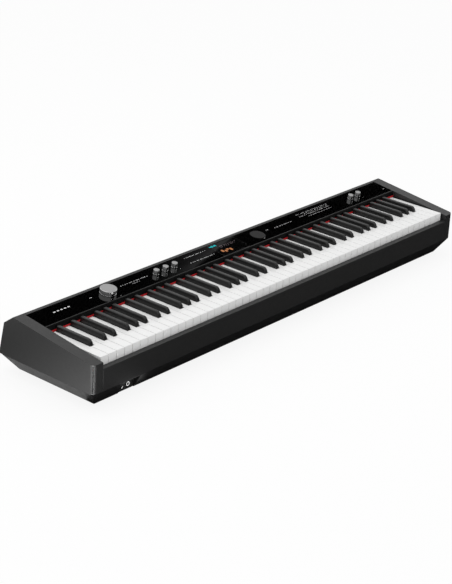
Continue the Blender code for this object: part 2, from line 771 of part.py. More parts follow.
def knob(name, x, radius, look):
    """A turned knob on its spindle. The data wheel is a flat disc let into the panel."""
    tip = BOARD_DEPTH - SEAT
    hub = 2 * SHAFT_RADIUS
    if name == "data_wheel":
        chamfer = DIAL_RISE / 2
        under = PLATE_UNDER
        profile = [(0, -tip), (SHAFT_RADIUS, -tip), (SHAFT_RADIUS, -under), (radius, -under)]
        profile += [(radius, DIAL_RISE - chamfer), (radius - chamfer, DIAL_RISE), (0, DIAL_RISE)]
    else:
        chamfer = radius / 12
        profile = [(0, -tip), (SHAFT_RADIUS, -tip), (SHAFT_RADIUS, SEAT), (hub, SEAT)]
        profile = profile if hub < radius else profile[:3]
        profile += [(radius, SEAT), (radius, KNOB_HEIGHT - chamfer)]
        profile += [(radius - chamfer, KNOB_HEIGHT), (0, KNOB_HEIGHT)]
    made = place(name, [turned(profile)], look, panel_place(x, KNOB_ROW), TILT)
    return smooth(made)


def panel_frame(look):
    """The black moulding that carries the glossy sheet, with the upright wall behind the keys."""
    foot_y = KEY_Y + WHITE_VISIBLE + TAIL_CLEARANCE
    foot_z = KEY_Z + FELT_HIGH + SEAT
    seat = PANEL_SHEET + SEAT
    profile = [
        panel_point(PANEL_FRONT, 0), panel_point(GLOSS_FRONT, 0), panel_point(GLOSS_FRONT, seat),
        panel_point(PANEL_REAR, seat), panel_point(PANEL_REAR, PLATE_UNDER),
        panel_point(GLOSS_FRONT + WALL / 2, PLATE_UNDER),
        (foot_y + WALL, foot_z), (foot_y, foot_z),
    ]
    half = CHEEK_INNER - SEAT
    made = place("panel_frame", [prism(profile, -half, half)], look)
    span = BOARD_DEPTH - PLATE_UNDER - SEAT
    bosses = []
    for x in board_bosses():
        post = disc(WALL, -PLATE_UNDER - span, -PLATE_UNDER + PANEL_PLATE / 2, 10, "Z", (x, 0, 0))
        bosses.append(post)
    boolean(made, "UNION", bosses, panel_place(0, KNOB_ROW), TILT)
    return boolean(made, "DIFFERENCE", panel_holes(), panel_place(0, KNOB_ROW), TILT)


def board_ends():
    return VOLUME_X - VOLUME_RADIUS, TONE_X + KNOB_SPACING + VOLUME_RADIUS


def board_bosses():
    """x of the posts that the panel board hangs on, clear of the knobs and the display."""
    left, right = board_ends()
    middle_left = (VOLUME_X + EFFECT_X) / 2
    middle_right = (DIAL_X + TONE_X) / 2
    return left + 2 * WALL, middle_left, middle_right, right - 2 * WALL


def panel_holes():
    """Cutters for the spindles, the data wheel and the display, about the knob row."""
    deep = 2 * BOARD_DEPTH
    holes = []
    for name, x, radius in controls():
        if name == "data_wheel":
            holes.append(disc(radius + SEAT, -deep, deep, ROUND, "Z", (x, 0, 0)))
        else:
            holes.append(disc(BORE, -deep, deep, ROUND // 2, "Z", (x, 0, 0)))
    half_x, half_y = DISPLAY_WIDTH / 2 + SEAT, DISPLAY_DEPTH / 2 + SEAT
    holes.append(box((DISPLAY_X - half_x, -half_y, -PLATE_UNDER - WALL / 2), (DISPLAY_X + half_x, half_y, deep)))
    return holes


def glossy_panel(look):
    """The sheet that covers the whole panel, let in behind the frame's thin lip."""
    front = GLOSS_FRONT + SEAT
    profile = [
        panel_point(front, 0), panel_point(PANEL_REAR, 0),
        panel_point(PANEL_REAR, PANEL_SHEET), panel_point(front, PANEL_SHEET),
    ]
    half = CHEEK_INNER - SEAT
    made = place("glossy_panel", [prism(profile, -half, half)], look)
    return boolean(made, "DIFFERENCE", panel_holes(), panel_place(0, KNOB_ROW), TILT)


def display_module(look):
    """The colour display: its glass fills the panel's window and its body hangs under the frame."""
    half_x, half_y = DISPLAY_WIDTH / 2, DISPLAY_DEPTH / 2
    under = PLATE_UNDER + SEAT
    rim = DISPLAY_BORDER
    glass = box((-half_x, -half_y, -under - rim), (half_x, half_y, 0))
    body = box((-half_x - 2 * WALL, rim - half_y, -under - DISPLAY_BODY), (half_x + 2 * WALL, half_y - rim, -under))
    made = place("display_module", [glass], look, panel_place(DISPLAY_X, KNOB_ROW), TILT)
    return boolean(made, "UNION", [body], panel_place(DISPLAY_X, KNOB_ROW), TILT)


def panel_board(look):
    """The control board under the panel, with a potentiometer or encoder under each control."""
    left, right = board_ends()
    depth = DISPLAY_DEPTH / 2 - 2 * WALL
    board = box((left, -depth, -BOARD_DEPTH - BOARD), (right, depth, -BOARD_DEPTH))
    made = place("panel_board", [board], look, panel_place(0, KNOB_ROW), TILT)
    pots = []
    for name, x, radius in controls():
        top = -PLATE_UNDER - SEAT - TAIL_CLEARANCE
        pots.append(disc(2 * SHAFT_RADIUS, -BOARD_DEPTH - BOARD / 2, top, ROUND // 2, "Z", (x, 0, 0)))
    boolean(made, "UNION", pots, panel_place(0, KNOB_ROW), TILT)
    bores = [disc(BORE, -BOARD_DEPTH, 0, ROUND // 2, "Z", (x, 0, 0)) for name, x, radius in controls()]
    return boolean(made, "DIFFERENCE", bores, panel_place(0, KNOB_ROW), TILT)


def rubber_feet(look):
    """Four round feet, each let against the flat underside of the tray."""
    x_foot = BODY_LENGTH / 2 - FOOT_SIDE_INSET
    y_foot = BODY_DEPTH / 2 - FOOT_END_INSET
    for side, x in (("left", -x_foot), ("right", x_foot)):
        for end, y in (("front", -y_foot), ("rear", y_foot)):
            top = FOOT_HEIGHT - SEAT
            chamfer = FOOT_RADIUS / 10
            profile = [(0, 0), (FOOT_RADIUS - chamfer, 0), (FOOT_RADIUS, chamfer), (FOOT_RADIUS, top), (0, top)]
            smooth(place(f"foot_{end}_{side}", [turned(profile)], look, (x, y, 0)))


def build():
    clear_scene()
    shell = material("charcoal_shell", (0.035, 0.036, 0.038), 0.55)
    gloss = material("gloss_black", (0.004, 0.004, 0.004), 0.06)
    frame = material("satin_black", (0.02, 0.02, 0.021), 0.4)
    ivory = material("key_white", (0.86, 0.86, 0.85), 0.25)
    ebony = material("key_black", (0.015, 0.015, 0.016), 0.35)
    felt = material("red_felt", (0.55, 0.01, 0.02), 0.95)
    steel = material("sheet_steel", (0.55, 0.56, 0.57), 0.35, 1.0)
    chrome = material("chrome", (0.75, 0.75, 0.77), 0.12, 1.0)
    dial = material("dial_grey", (0.08, 0.08, 0.085), 0.45)
    board = material("circuit_board", (0.02, 0.16, 0.06), 0.5)
    glass = material("display_glass", (0.01, 0.012, 0.016), 0.05)
    rubber = material("rubber", (0.02, 0.02, 0.02), 0.8)
    end_cheek("left_end_cheek", -1, shell)
    end_cheek("right_end_cheek", 1, shell)
    front_rail(shell)
    rear_cover(shell)
    bottom_tray(shell)
    panel_frame(frame)
    glossy_panel(gloss)
    display_module(glass)
    panel_board(board)
    for name, x, radius in controls():
        knob(name, x, radius, dial if name == "data_wheel" else chrome)
    key_felts(felt)
    key_chassis(steel)
    pivot_rod(steel)
    contact_board(board)
    keyboard(ivory, ebony)
    main_board(board)
    for name, x in zip(("headphone_jack_left", "headphone_jack_right"), pocket_places()):
        headphone_jack(name, x, frame)
    twin_left, twin_right, pedal, inlet, button = bay_places()
    rear_socket("line_output_jacks", [twin_left, twin_right], frame)
    rear_socket("pedal_jack", [pedal], frame)
    power_inlet(inlet, frame)
    power_button(button, frame)
    rubber_feet(rubber)


build()
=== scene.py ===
# %% [markdown]
# # A digital stage piano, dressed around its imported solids
# The solids already have the right size, so this script adds looks: light, finishes and fine pieces.
# Lengths are in metres: x runs along the keys to the treble end, y runs from front to back and z
# runs up.

import math

import bmesh
import bpy
import numpy as np
from mathutils import Matrix


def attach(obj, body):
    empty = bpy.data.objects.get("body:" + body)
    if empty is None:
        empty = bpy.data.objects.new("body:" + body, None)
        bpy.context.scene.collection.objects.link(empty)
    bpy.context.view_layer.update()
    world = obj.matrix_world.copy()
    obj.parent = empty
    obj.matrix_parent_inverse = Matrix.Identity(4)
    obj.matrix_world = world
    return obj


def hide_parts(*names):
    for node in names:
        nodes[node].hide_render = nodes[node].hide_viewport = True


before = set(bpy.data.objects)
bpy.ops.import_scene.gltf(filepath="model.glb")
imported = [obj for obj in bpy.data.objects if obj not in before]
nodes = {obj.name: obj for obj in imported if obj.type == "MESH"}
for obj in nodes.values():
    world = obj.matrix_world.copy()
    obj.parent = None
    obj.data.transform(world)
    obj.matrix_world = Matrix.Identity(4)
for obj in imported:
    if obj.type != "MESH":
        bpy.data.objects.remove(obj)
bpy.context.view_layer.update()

# %% [markdown]
# ## The camera
# The photograph looks down along the keyboard from the bass end. A long lens keeps the far end
# almost as large as the near one, so the lens is found first and the distance follows from it.
# The camera's own axes are worked out as vectors, because a small roll is easy to add that way.

# %% Camera
AZIMUTH, ELEVATION, ROLL = (math.radians(v) for v in (-50.26, 23.46, 2.98))
DISTANCE, LENS, VIEW_END = 3.8994, 104.2, 60
AIM = np.array((0, -0.0521, 0.1139))
SHIFT = (-0.08874, -0.05619)
toward = np.array((
    math.sin(AZIMUTH) * math.cos(ELEVATION),
    -math.cos(AZIMUTH) * math.cos(ELEVATION),
    math.sin(ELEVATION),
))
level = np.cross((0, 0, 1), toward)
level /= np.linalg.norm(level)
upright = np.cross(toward, level)
right = math.cos(ROLL) * level + math.sin(ROLL) * upright
up = math.cos(ROLL) * upright - math.sin(ROLL) * level
eye = AIM + toward * DISTANCE + right * SHIFT[0] + up * SHIFT[1]

camera = bpy.data.objects.new("camera", bpy.data.cameras.new("camera"))
camera.data.lens = LENS
camera.data.clip_end = VIEW_END
camera.matrix_world = Matrix(np.column_stack((right, up, toward)).tolist()).to_4x4()
camera.location = eye
bpy.context.scene.collection.objects.link(camera)
bpy.context.scene.camera = camera
bpy.context.scene.view_settings.view_transform = "Standard"
print("camera at", eye.round(3))

# %% [markdown]
# ## Writing shader maths as Python
# A material is a graph of nodes, and long graphs are hard to read when they are built by hand.
# Wrapping a socket in a small class lets `0.4 + 0.1 * grain` add the Math nodes by itself.

# %% The wire class
class Wire:
    """One output socket. Arithmetic on it adds Math nodes, and node() adds any other node."""

    def __init__(self, tree, socket=None):
        self.tree, self.socket = tree, socket

    def node(self, kind, settings=None, inputs=None, output=0):
        """A node of that kind: settings first, then the values or links of its sockets."""
        made = self.tree.nodes.new("ShaderNode" + kind)
        for name, value in (settings or {}).items():
            setattr(made, name, value)
        feed(self.tree, made.inputs, inputs or {})
        return Wire(self.tree, made.outputs[output])

    def math(self, operation, first, second):
        return self.node("Math", {"operation": operation}, {0: first, 1: second})

    def __add__(self, other):
        return self.math("ADD", self, other)

    def __mul__(self, other):
        return self.math("MULTIPLY", self, other)

    __radd__, __rmul__ = __add__, __mul__

    def mix(self, first, second):
        """A colour between two others, by this wire's value."""
        inputs = {0: self, 6: first, 7: second}
        return self.node("Mix", {"data_type": "RGBA"}, inputs, 2)


def feed(tree, inputs, values):
    """Links or sets each named input of a node."""
    for name, value in values.items():
        if isinstance(value, Wire):
            tree.links.new(value.socket, inputs[name])
        else:
            inputs[name].default_value = value


def start(name):
    """A new material: gives it, a wire to build with, and its Principled shader's inputs."""
    made = bpy.data.materials.new(name)
    made.use_nodes = True
    tree = made.node_tree
    return made, Wire(tree), tree.nodes["Principled BSDF"].inputs


def colour(value, tint=(1, 1, 1)):
    return (value * tint[0], value * tint[1], value * tint[2], 1)


print("wire class ready")

# %% [markdown]
# ## Light
# A studio packshot has a white surround. The world is white where the camera or a reflection
# sees it and a little dimmer as a lamp, so pale keys don't burn out. The floor is pale as well
# and keeps a soft shadow. Light Path tells the two kinds of ray apart.

# %% World and floor
WORLD_LIGHT = 0.84
FLOOR_SIZE, FLOOR_GLOW, FLOOR_PALE = 30.0, 0.88, 0.9


def seen_directly(tree):
    """1 for the rays of camera, mirrors and glass, and 0 for rays that only carry light."""
    rays = Wire(tree).node("LightPath").socket.node.outputs
    view, mirror, glass = (
        Wire(tree, rays[name]) for name in ("Is Camera Ray", "Is Glossy Ray", "Is Transmission Ray")
    )
    return view.math("MAXIMUM", view, mirror.math("MAXIMUM", mirror, glass))


def show(tree, shader):
    feed(tree, tree.nodes["Material Output"].inputs, {"Surface": shader})


def flat_card(name, corners, look):
    """A stage card through four corners, which isn't part of the piano."""
    mesh = bpy.data.meshes.new(name)
    mesh.from_pydata([tuple(c) for c in corners], [], [(0, 1, 2, 3)])
    made = bpy.data.objects.new(name, mesh)
    mesh.materials.append(look)
    bpy.context.scene.collection.objects.link(made)
    return made


world = bpy.data.worlds.new("studio")
world.use_nodes = True
bpy.context.scene.world = world
feed(world.node_tree, world.node_tree.nodes["Background"].inputs, {
    "Color": (1, 1, 1, 1),
    "Strength": WORLD_LIGHT + (1 - WORLD_LIGHT) * seen_directly(world.node_tree),
})

floor_look, wire, _ = start("floor_paper")
matt = wire.node("BsdfDiffuse", None, {"Color": colour(FLOOR_PALE)})
lit_part = wire.node("Emission", None, {"Color": colour(1.0)})
share = seen_directly(wire.tree) * FLOOR_GLOW
show(wire.tree, wire.node("MixShader", None, {0: share, 1: matt, 2: lit_part}))
half = FLOOR_SIZE / 2
flat_card("floor", [(-half, -half, 0), (half, -half, 0), (half, half, 0), (-half, half, 0)], floor_look)
print("floor", FLOOR_SIZE, "m square")

# %% [markdown]
# ## The panel's plane
# Controls, prints and display all lie on one sloped plane. A single function turns a place along
# the keyboard, a place front to back and a height above the plane into a point in space.

# %% Panel plane
BODY_FRONT, PANEL_EDGE_Z = -0.1402, 0.1087
PANEL_RISE, PANEL_RUN = 0.0299, 0.237
TILT = math.atan2(PANEL_RISE, PANEL_RUN)
PANEL_MIDDLE, KEY_FRONT = 0.05985, -0.1271
panel_normal = np.array((0, -math.sin(TILT), math.cos(TILT)))


def on_panel(x, y, height=0.0):
    """Points on the panel: z rises with y by the slope's tangent, then moves along the normal."""
    x, y, height = np.broadcast_arrays(*(np.asarray(v, float) for v in (x, y, height)))
    z = PANEL_EDGE_Z + (y - BODY_FRONT) * math.tan(TILT)
    return np.stack((x, y, z), -1) + height[..., None] * panel_normal


print("panel slopes", round(math.degrees(TILT), 2), "degrees")

# %% [markdown]
# ## Cards for the reflections
# A glossy panel shows whatever its mirror image of the camera sees. Stretching panel points away
# from that image by one factor puts a card exactly where the panel will show it. The dark card
# keeps the panel black, and the lit one gives it the grey sheen with the slanted hard edge.

# %% Cards over the panel
DARK_STRETCH, SHEEN_STRETCH = 1.36, 1.35
FADE_POWER = 2.0
SHEEN_GLOW, DARK_GLOW = 0.33, 0.001
DARK_CORNERS = ((-0.75, 0.0), (0.75, 0.0), (0.75, 0.115), (-0.75, 0.115))
SHEEN_CORNERS = ((-0.34, 0.0305), (-0.155, 0.0305), (0.055, 0.0892), (-0.30, 0.0892))
mirror_eye = eye - 2 * np.dot(eye - on_panel(0, 0), panel_normal) * panel_normal


def reflected(places, stretch):
    """The card points that the panel shows at those (x, y) places."""
    return [mirror_eye + stretch * (on_panel(x, y) - mirror_eye) for x, y in places]


def card_look(name, glow, fades=False):
    """A glowing card. A fading one glows by a power of its own UV map's first coordinate."""
    made, wire, _ = start(name)
    if fades:
        along = wire.node("SeparateXYZ", None, {0: wire.node("UVMap")})
        glow = along.math("POWER", along, FADE_POWER) * glow
    show(wire.tree, wire.node("Emission", None, {"Color": colour(1), "Strength": glow}))
    return made


def reflected_card(name, corners, look):
    """A card that only reflections see. Its UV map runs from its first corner to its second."""
    card = flat_card(name, corners, look)
    card.visible_camera = card.visible_diffuse = card.visible_shadow = False
    card.visible_transmission = False
    uv = card.data.uv_layers.new(name="UVMap")
    uv.data.foreach_set("uv", np.array(((0, 0), (1, 0), (1, 1), (0, 1)), np.float32).ravel())


dark = card_look("dark_card", DARK_GLOW)
reflected_card("dark_card_over_panel", reflected(DARK_CORNERS, DARK_STRETCH), dark)
sheen = card_look("sheen_card", SHEEN_GLOW, fades=True)
reflected_card("sheen_card", reflected(SHEEN_CORNERS, SHEEN_STRETCH), sheen)
print("the panel mirrors the camera to", mirror_eye.round(3))

# %% [markdown]
# ## Cards beside the piano
# The upright faces look down and outwards, so they mirror the floor. A dark card in front keeps
# the rail black, and a lit one beside the bass end makes its cheek lighter towards the front. Two
# small bright cards put the glints on the cheek's corner and on the headphone sockets' rings.

# %% Cards on the floor
LOW, HIGHER = 0.001, 0.0014
DARK_X, DARK_Y = (-0.67, 4.0), (-0.09, -3.0)
AHEAD_X, AHEAD_TOP = (-0.4, 5.0), 2.2
SIDE_GLOW, CORNER_GLOW, JACK_GLOW = 2.8, 17.0, 1.3


def lying_card(name, x, y, height, look):
    """A card that lies a little above the floor, between two places along x and two along y."""
    corners = [(x[0], y[0], height), (x[0], y[1], height), (x[1], y[1], height), (x[1], y[0], height)]
    reflected_card(name, corners, look)


lying_card("dark_card_on_floor", DARK_X, DARK_Y, LOW, dark)
ahead = [(x, DARK_Y[1], z) for x, z in zip(AHEAD_X + AHEAD_X[::-1], (0, 0, AHEAD_TOP, AHEAD_TOP))]
reflected_card("dark_card_ahead", ahead, dark)
side = card_look("side_card", SIDE_GLOW, fades=True)
lying_card("lit_card_beside", (-2.2, -0.66), (0.34, -0.16), LOW, side)
corner = card_look("lit_card_at_corner", CORNER_GLOW)
lying_card("lit_card_at_corner", (-0.84, -0.675), (-0.34, -0.19), HIGHER, corner)
jacks = card_look("lit_card_at_jacks", JACK_GLOW)
lying_card("lit_card_at_jacks", (-0.525, -0.465), (-0.175, -0.128), HIGHER, jacks)
print("five cards stand or lie around the piano")

# %% [markdown]
# ## A soft lamp
# One large lamp overhead lifts the white key tops above their fronts. It is kept out of the
# reflections, where its sharp outline would show in the panel.

# %% Lamp
LAMP_POWER = 17
top = bpy.data.objects.new("top_light", bpy.data.lights.new("top_light", "AREA"))
top.data.shape, top.data.size, top.data.size_y = "RECTANGLE", 2.5, 1.5
top.data.energy = LAMP_POWER
top.location = (-0.6, 0.4, 2.4)
top.rotation_euler = (math.radians(-10), math.radians(-14), 0)
top.visible_glossy = False
bpy.context.scene.collection.objects.link(top)
print("lamp", LAMP_POWER, "W")

# %% [markdown]
# ## Finishes
# Each finish repeats one idea: noise on Object coordinates, which are metres here, drives a little
# roughness, colour and bump. The Bevel node bends the normals near an edge, so a sharp solid
# catches light along its edges as a moulded part does.

# %% The plastic recipe
BUMP_DEPTH, BROADER, EDGE_SAMPLES = 0.0002, 12, 4


def grain(wire, scale, detail=2.0, stretch=(1, 1, 1)):
    """Noise that has `scale` cells to the metre, squeezed along each axis."""
    place = wire.node("TexCoord", None, None, "Object")
    place = wire.node("Mapping", None, {"Vector": place, "Scale": stretch})
    return wire.node("TexNoise", None, {"Vector": place, "Scale": scale, "Detail": detail})


def plastic(name, base, rough, bump, scale, edge=0.0006, stretch=(1, 1, 1), shine=None, metal=0.0):
    """A surface whose two colours are mixed by noise, with a fine texture and softened edges."""
    made, wire, inputs = start(name)
    fine = grain(wire, scale, 3.0, stretch)
    broad = grain(wire, scale / BROADER, 2.0, stretch)
    soft = wire.node("Bevel", {"samples": EDGE_SAMPLES}, {"Radius": edge})
    rise = wire.node("Bump", None, {
        "Strength": bump, "Distance": BUMP_DEPTH, "Height": fine, "Normal": soft,
    })
    feed(wire.tree, inputs, {
        "Base Color": fine.mix(colour(*base[0]), colour(*base[1])),
        "Roughness": rough[0] + (rough[1] - rough[0]) * broad,
        "Normal": rise,
        "Metallic": metal,
    })
    if shine is not None:
        feed(wire.tree, inputs, {"Specular IOR Level": shine})
    return made


print("a plastic takes a name, two colours, two roughnesses, a bump, a scale and an edge")

# %% [markdown]
# ## The piano's own finishes
# The shell is a coarse charcoal plastic, the panel a polished black sheet and the black keys a satin
# that is brushed lengthwise. Metals differ only in colour and roughness. A lower shine dims what a
# black face mirrors and leaves its colour alone.

# %% Finishes
WARM_WHITE, RED_DARK, RED_PALE, GREEN = (1, 1, 0.995), (1, 0.01, 0.02), (1, 0.02, 0.03), (1, 8, 3)
looks = {
    "shell": plastic("charcoal_plastic", ((0.006,), (0.026,)), (0.42, 0.56), 0.35, 1100, 0.0010),
    # The tray wears the shell's plastic with a slightly darker colour and a lower shine: painted shade for the
    # tray, which sits low under the case.
    "low": plastic("tray_plastic_shaded", ((0.006,), (0.022,)), (0.42, 0.56), 0.35, 1100, 0.0010, shine=0.24),
    "frame": plastic("satin_black", ((0.002,), (0.005,)), (0.34, 0.44), 0.20, 1500, 0.0014, shine=0.20),
    "gloss": plastic("gloss_black", ((0.0004,), (0.0008,)), (0.03, 0.06), 0.0, 300, 0.0003, shine=0.25),
    "ivory": plastic("key_white", ((0.80, WARM_WHITE), (0.84, WARM_WHITE)), (0.20, 0.30), 0.02, 500, 0.0007),
    "ebony": plastic("key_black", ((0.004,), (0.009,)), (0.30, 0.40), 0.15, 900, 0.0009,
                     stretch=(1, 0.25, 1), shine=0.38),
    "felt": plastic("red_felt", ((0.30, RED_DARK), (0.75, RED_PALE)), (0.9, 1.0), 1.0, 2600, 0.0004),
    "steel": plastic("zinc_sheet", ((0.42,), (0.55,)), (0.30, 0.45), 0.10, 260, 0.0004, metal=1.0),
    "jack": plastic("plated_ring", ((0.70,), (0.80,)), (0.22, 0.30), 0.02, 700, 0.0003, metal=1.0),
    "chrome": plastic("bright_chrome", ((0.74,), (0.80,)), (0.02, 0.05), 0.01, 700, 0.0002, metal=1.0),
    "dial": plastic("dial_grey", ((0.007,), (0.010,)), (0.55, 0.65), 0.10, 1800, 0.0004, shine=0.2),
    "board": plastic("green_board", ((0.010, GREEN), (0.02, GREEN)), (0.3, 0.4), 0.1, 900, 0.0002),
    "glass": plastic("display_glass", ((0.0012,), (0.002,)), (0.03, 0.05), 0.0, 300, 0.0002),
    "rubber": plastic("rubber", ((0.010,), (0.022,)), (0.75, 0.9), 0.4, 1400, 0.0006),
}
print("finishes:", ", ".join(looks))

# %% [markdown]
# ## Dressing the solids
# Each solid gets one finish by its name. The white keys' edges show at the front of the picture, so
# they are really rounded, by modifiers that leave the solid's own mesh as it is.

# %% Dress the solids
WEARS = {
    "shell": ("left_end_cheek", "right_end_cheek", "front_rail", "rear_cover"),
    "low": ("bottom_tray",),
    "frame": ("panel_frame", "power_inlet", "line_output_jacks", "pedal_jack", "power_button"),
    "gloss": ("glossy_panel",),
    "felt": ("felt_strip", "key_stop_felt"),
    "steel": ("key_chassis", "key_pivot_rod"),
    "jack": ("headphone_jack_left", "headphone_jack_right"),
    "dial": ("data_wheel",),
    "board": ("main_board", "panel_board", "contact_board"),
    "glass": ("display_module",),
    "rubber": tuple(n for n in nodes if n.startswith("foot_")),
    "ebony": tuple(n for n in nodes if "black_keys" in n or n.startswith("key_") and "sharp" in n),
}
WELD_GAP, FLAT_ANGLE = 1e-6, math.radians(1)
KEY_EDGE, KEY_EDGE_STEPS, EDGE_ANGLE = 0.0006, 2, math.radians(25)


def round_edges(node):
    """Merges the solid's loose triangles, joins flat ones and rounds the edges, all as modifiers."""
    node.modifiers.new("merge", "WELD").merge_threshold = WELD_GAP
    flat = node.modifiers.new("flat", "DECIMATE")
    flat.decimate_type, flat.angle_limit = "DISSOLVE", FLAT_ANGLE
    edge = node.modifiers.new("edge", "BEVEL")
    edge.width, edge.segments, edge.limit_method = KEY_EDGE, KEY_EDGE_STEPS, "ANGLE"
    edge.angle_limit, edge.use_clamp_overlap = EDGE_ANGLE, True


finish_of = {name: finish for finish, names in WEARS.items() for name in names}
for name, node in nodes.items():
    is_white = "white_keys" in name or name.startswith("key_")
    finish = finish_of.get(name, "ivory" if is_white else "dial")
    node.data.materials.clear()
    node.data.materials.append(looks[finish])
    if finish == "ivory":
        round_edges(node)
print("solids dressed:", len(nodes))

# %% [markdown]
# ## Surfaces from grids
# A round or flat piece is a grid of points with two parameters: one runs round it and wraps, the
# other runs from the middle of its top to the middle of its foot. Numpy works out all the points
# at once. Rows that shrink to a point are merged, which closes the piece at both poles.

# %% Grid surfaces
def grid_faces(rows, columns):
    """Quads between neighbouring rows, wrapping round each row."""
    i = np.arange(rows - 1)[:, None] * columns
    j = np.arange(columns)[None, :]
    k = (j + 1) % columns
    return np.stack((i + j, i + k, i + k + columns, i + j + columns), -1).reshape(-1, 4)


def make_piece(name, grids, body, materials, choose=None, smooth=40):
    """Joins grids of points into one closed mesh that rides on a body."""
    points, faces, picks, start_at = [], [], [], 0
    for grid in grids:
        rows, columns = grid.shape[:2]
        points.append(grid.reshape(-1, 3))
        faces.append(grid_faces(rows, columns) + start_at)
        picks.append(np.repeat(choose(rows) if choose else np.zeros(rows - 1, int), columns))
        start_at += rows * columns
    mesh = bpy.data.meshes.new(name)
    mesh.from_pydata(np.concatenate(points).tolist(), [], np.concatenate(faces).tolist())
    for material in materials:
        mesh.materials.append(material)
    mesh.polygons.foreach_set("material_index", np.concatenate(picks).astype(np.int32))
    shape = bmesh.new()
    shape.from_mesh(mesh)
    bmesh.ops.remove_doubles(shape, verts=shape.verts, dist=1e-7)
    bmesh.ops.dissolve_degenerate(shape, edges=shape.edges, dist=1e-8)
    bmesh.ops.recalc_face_normals(shape, faces=shape.faces)
    shape.to_mesh(mesh)
    shape.free()
    mesh.shade_smooth()
    mesh.set_sharp_from_angle(angle=math.radians(smooth))
    made = bpy.data.objects.new(name, mesh)
    bpy.context.scene.collection.objects.link(made)
    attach(made, body)
    return made


def pad(x, y, half_x, half_y, power=2.0, top=0.00006, foot=-0.00005, count=16):
    """A thin flat mark on the panel. Its outline is a superellipse: |x/a|^p + |y/b|^p = 1."""
    turn = (np.arange(count) + 0.5) * 2 * math.pi / count
    c, s = np.cos(turn), np.sin(turn)
    reach = (np.abs(c) ** power + np.abs(s) ** power) ** (-1 / power)
    share = np.array((0, 1, 1, 0.0))[:, None]
    height = np.array((top, top, foot, foot))[:, None]
    return on_panel(x + share * half_x * reach * c, y + share * half_y * reach * s, height)


print("grid of 4 by 8 has", len(grid_faces(4, 8)), "faces")

# %% [markdown]
# ## Black keys
# A black key's cap is a rounded section carried along the key. Its height follows a superellipse
# at the front, so that the top rolls down to a rounded tip. A bevel on the plain solid was tried
# first and stayed sharp, because the solid's short faces leave it no room.

# %% Black key surfaces
CAP_FRONT, CAP_REAR, CAP_FOOT, CAP_HEIGHT = -0.0759, 0.0236, 0.1119, 0.0139
BASE_HALF, TOP_HALF = 0.0055, 0.0046
ROLL_RUN, ROLL_POWER, ROLL_START, ROLL_ROWS = 0.0092, 1.55, 0.12, 10
NOSE_RUN, NOSE_SHARE = 0.0026, 0.45
CORNER_WIDE, CORNER_HIGH, CORNER_POINTS = 0.34, 0.14, 5


def key_section():
    """A section from 0 to 1 high and -1 to 1 wide: two upright sides and two quarter-round corners."""
    turn = np.linspace(0, math.pi / 2, CORNER_POINTS)
    wide = np.concatenate(((-1, -1), -(1 - CORNER_WIDE) - CORNER_WIDE * np.cos(turn)))
    high = np.concatenate(((0, 0.5 * (1 - CORNER_HIGH)), 1 - CORNER_HIGH + CORNER_HIGH * np.sin(turn)))
    return np.concatenate((wide, -wide[::-1])), np.concatenate((high, high[::-1]))


def with_poles(rows):
    """Adds a row shrunk to its own middle before the first row and after the last."""
    ends = [np.broadcast_to(rows[i].mean(0), rows[i].shape)[None] for i in (0, -1)]
    return np.concatenate((ends[0], rows, ends[1]))


def cap_grid(x):
    """Sections along y. The height is a superellipse of the distance d from the tip over a run R:
    h = (1 - ((R - d) / R) ** p) ** (1 / p), and the width rounds off in the same way."""
    d = ROLL_RUN * (1 - np.cos(np.linspace(ROLL_START, math.pi / 2, ROLL_ROWS)))
    d = np.concatenate((d, (0.03, 0.07, CAP_REAR - CAP_FRONT)))
    left = np.clip((ROLL_RUN - d) / ROLL_RUN, 0, 1)
    height = (1 - left ** ROLL_POWER) ** (1 / ROLL_POWER)
    near = np.clip((NOSE_RUN - d) / NOSE_RUN, 0, 1)
    width = NOSE_SHARE + (1 - NOSE_SHARE) * np.sqrt(1 - near ** 2)
    u, w = key_section()
    half = BASE_HALF + (TOP_HALF - BASE_HALF) * w
    return with_poles(np.stack((
        x + u * half * width[:, None],
        np.broadcast_to((CAP_FRONT + d)[:, None], (len(d), len(u))),
        CAP_FOOT + CAP_HEIGHT * w * height[:, None],
    ), -1))


def bar_grid(x0, x1, stations):
    """A straight bar: each station gives y, lowest z and highest z, between two places along x."""
    y, low, high = (np.array(v)[:, None] for v in zip(*stations))
    x = np.array((x0, x0, x1, x1))[None, :]
    z = np.concatenate((low, high, high, low), 1)
    return with_poles(np.stack(np.broadcast_arrays(x, y, z), -1))


print("a cap has", cap_grid(0).shape[:2], "points")

# %% [markdown]
# ## Where the black keys stand
# Black keys stand between white ones and lean a little away from the middle of their group of two
# or three. The notes are counted as semitones. A note in the middle two octaves is a key of its
# own, and the notes below and above form combs, whose keys share one hidden bar.

# %% Black keys
KEY_PITCH, KEYBOARD_HALF = 0.0235, 0.611
NOTE_NAMES = ("c", "c_sharp", "d", "d_sharp", "e", "f", "f_sharp", "g", "g_sharp", "a", "a_sharp", "b")
BLACK_SHIFT = {1: -0.0026, 3: 0.0026, 6: -0.0035, 8: 0.0, 10: 0.0035}
LOWEST, MIDDLE_FIRST, MIDDLE_LAST, HIGHEST = 9, 36, 59, 96
ARM_HALF = 0.0050
ARM = ((-0.0745, 0.0981, 0.1109), (0.0423, 0.0981, 0.1109), (0.0425, 0.0981, 0.1056), (0.0764, 0.0981, 0.1056))
BAR = ((0.0450, 0.0908, 0.0952), (0.0628, 0.0908, 0.0952))
RISER = ((0.0452, 0.0940, 0.0995), (0.0626, 0.0940, 0.0995))


def black_key_body(note):
    """The body that a black note belongs to: a comb, or a key with the note's own name."""
    if note < MIDDLE_FIRST:
        return "low_black_keys"
    if note > MIDDLE_LAST:
        return "high_black_keys"
    return f"key_{NOTE_NAMES[note % 12]}{note // 12}"


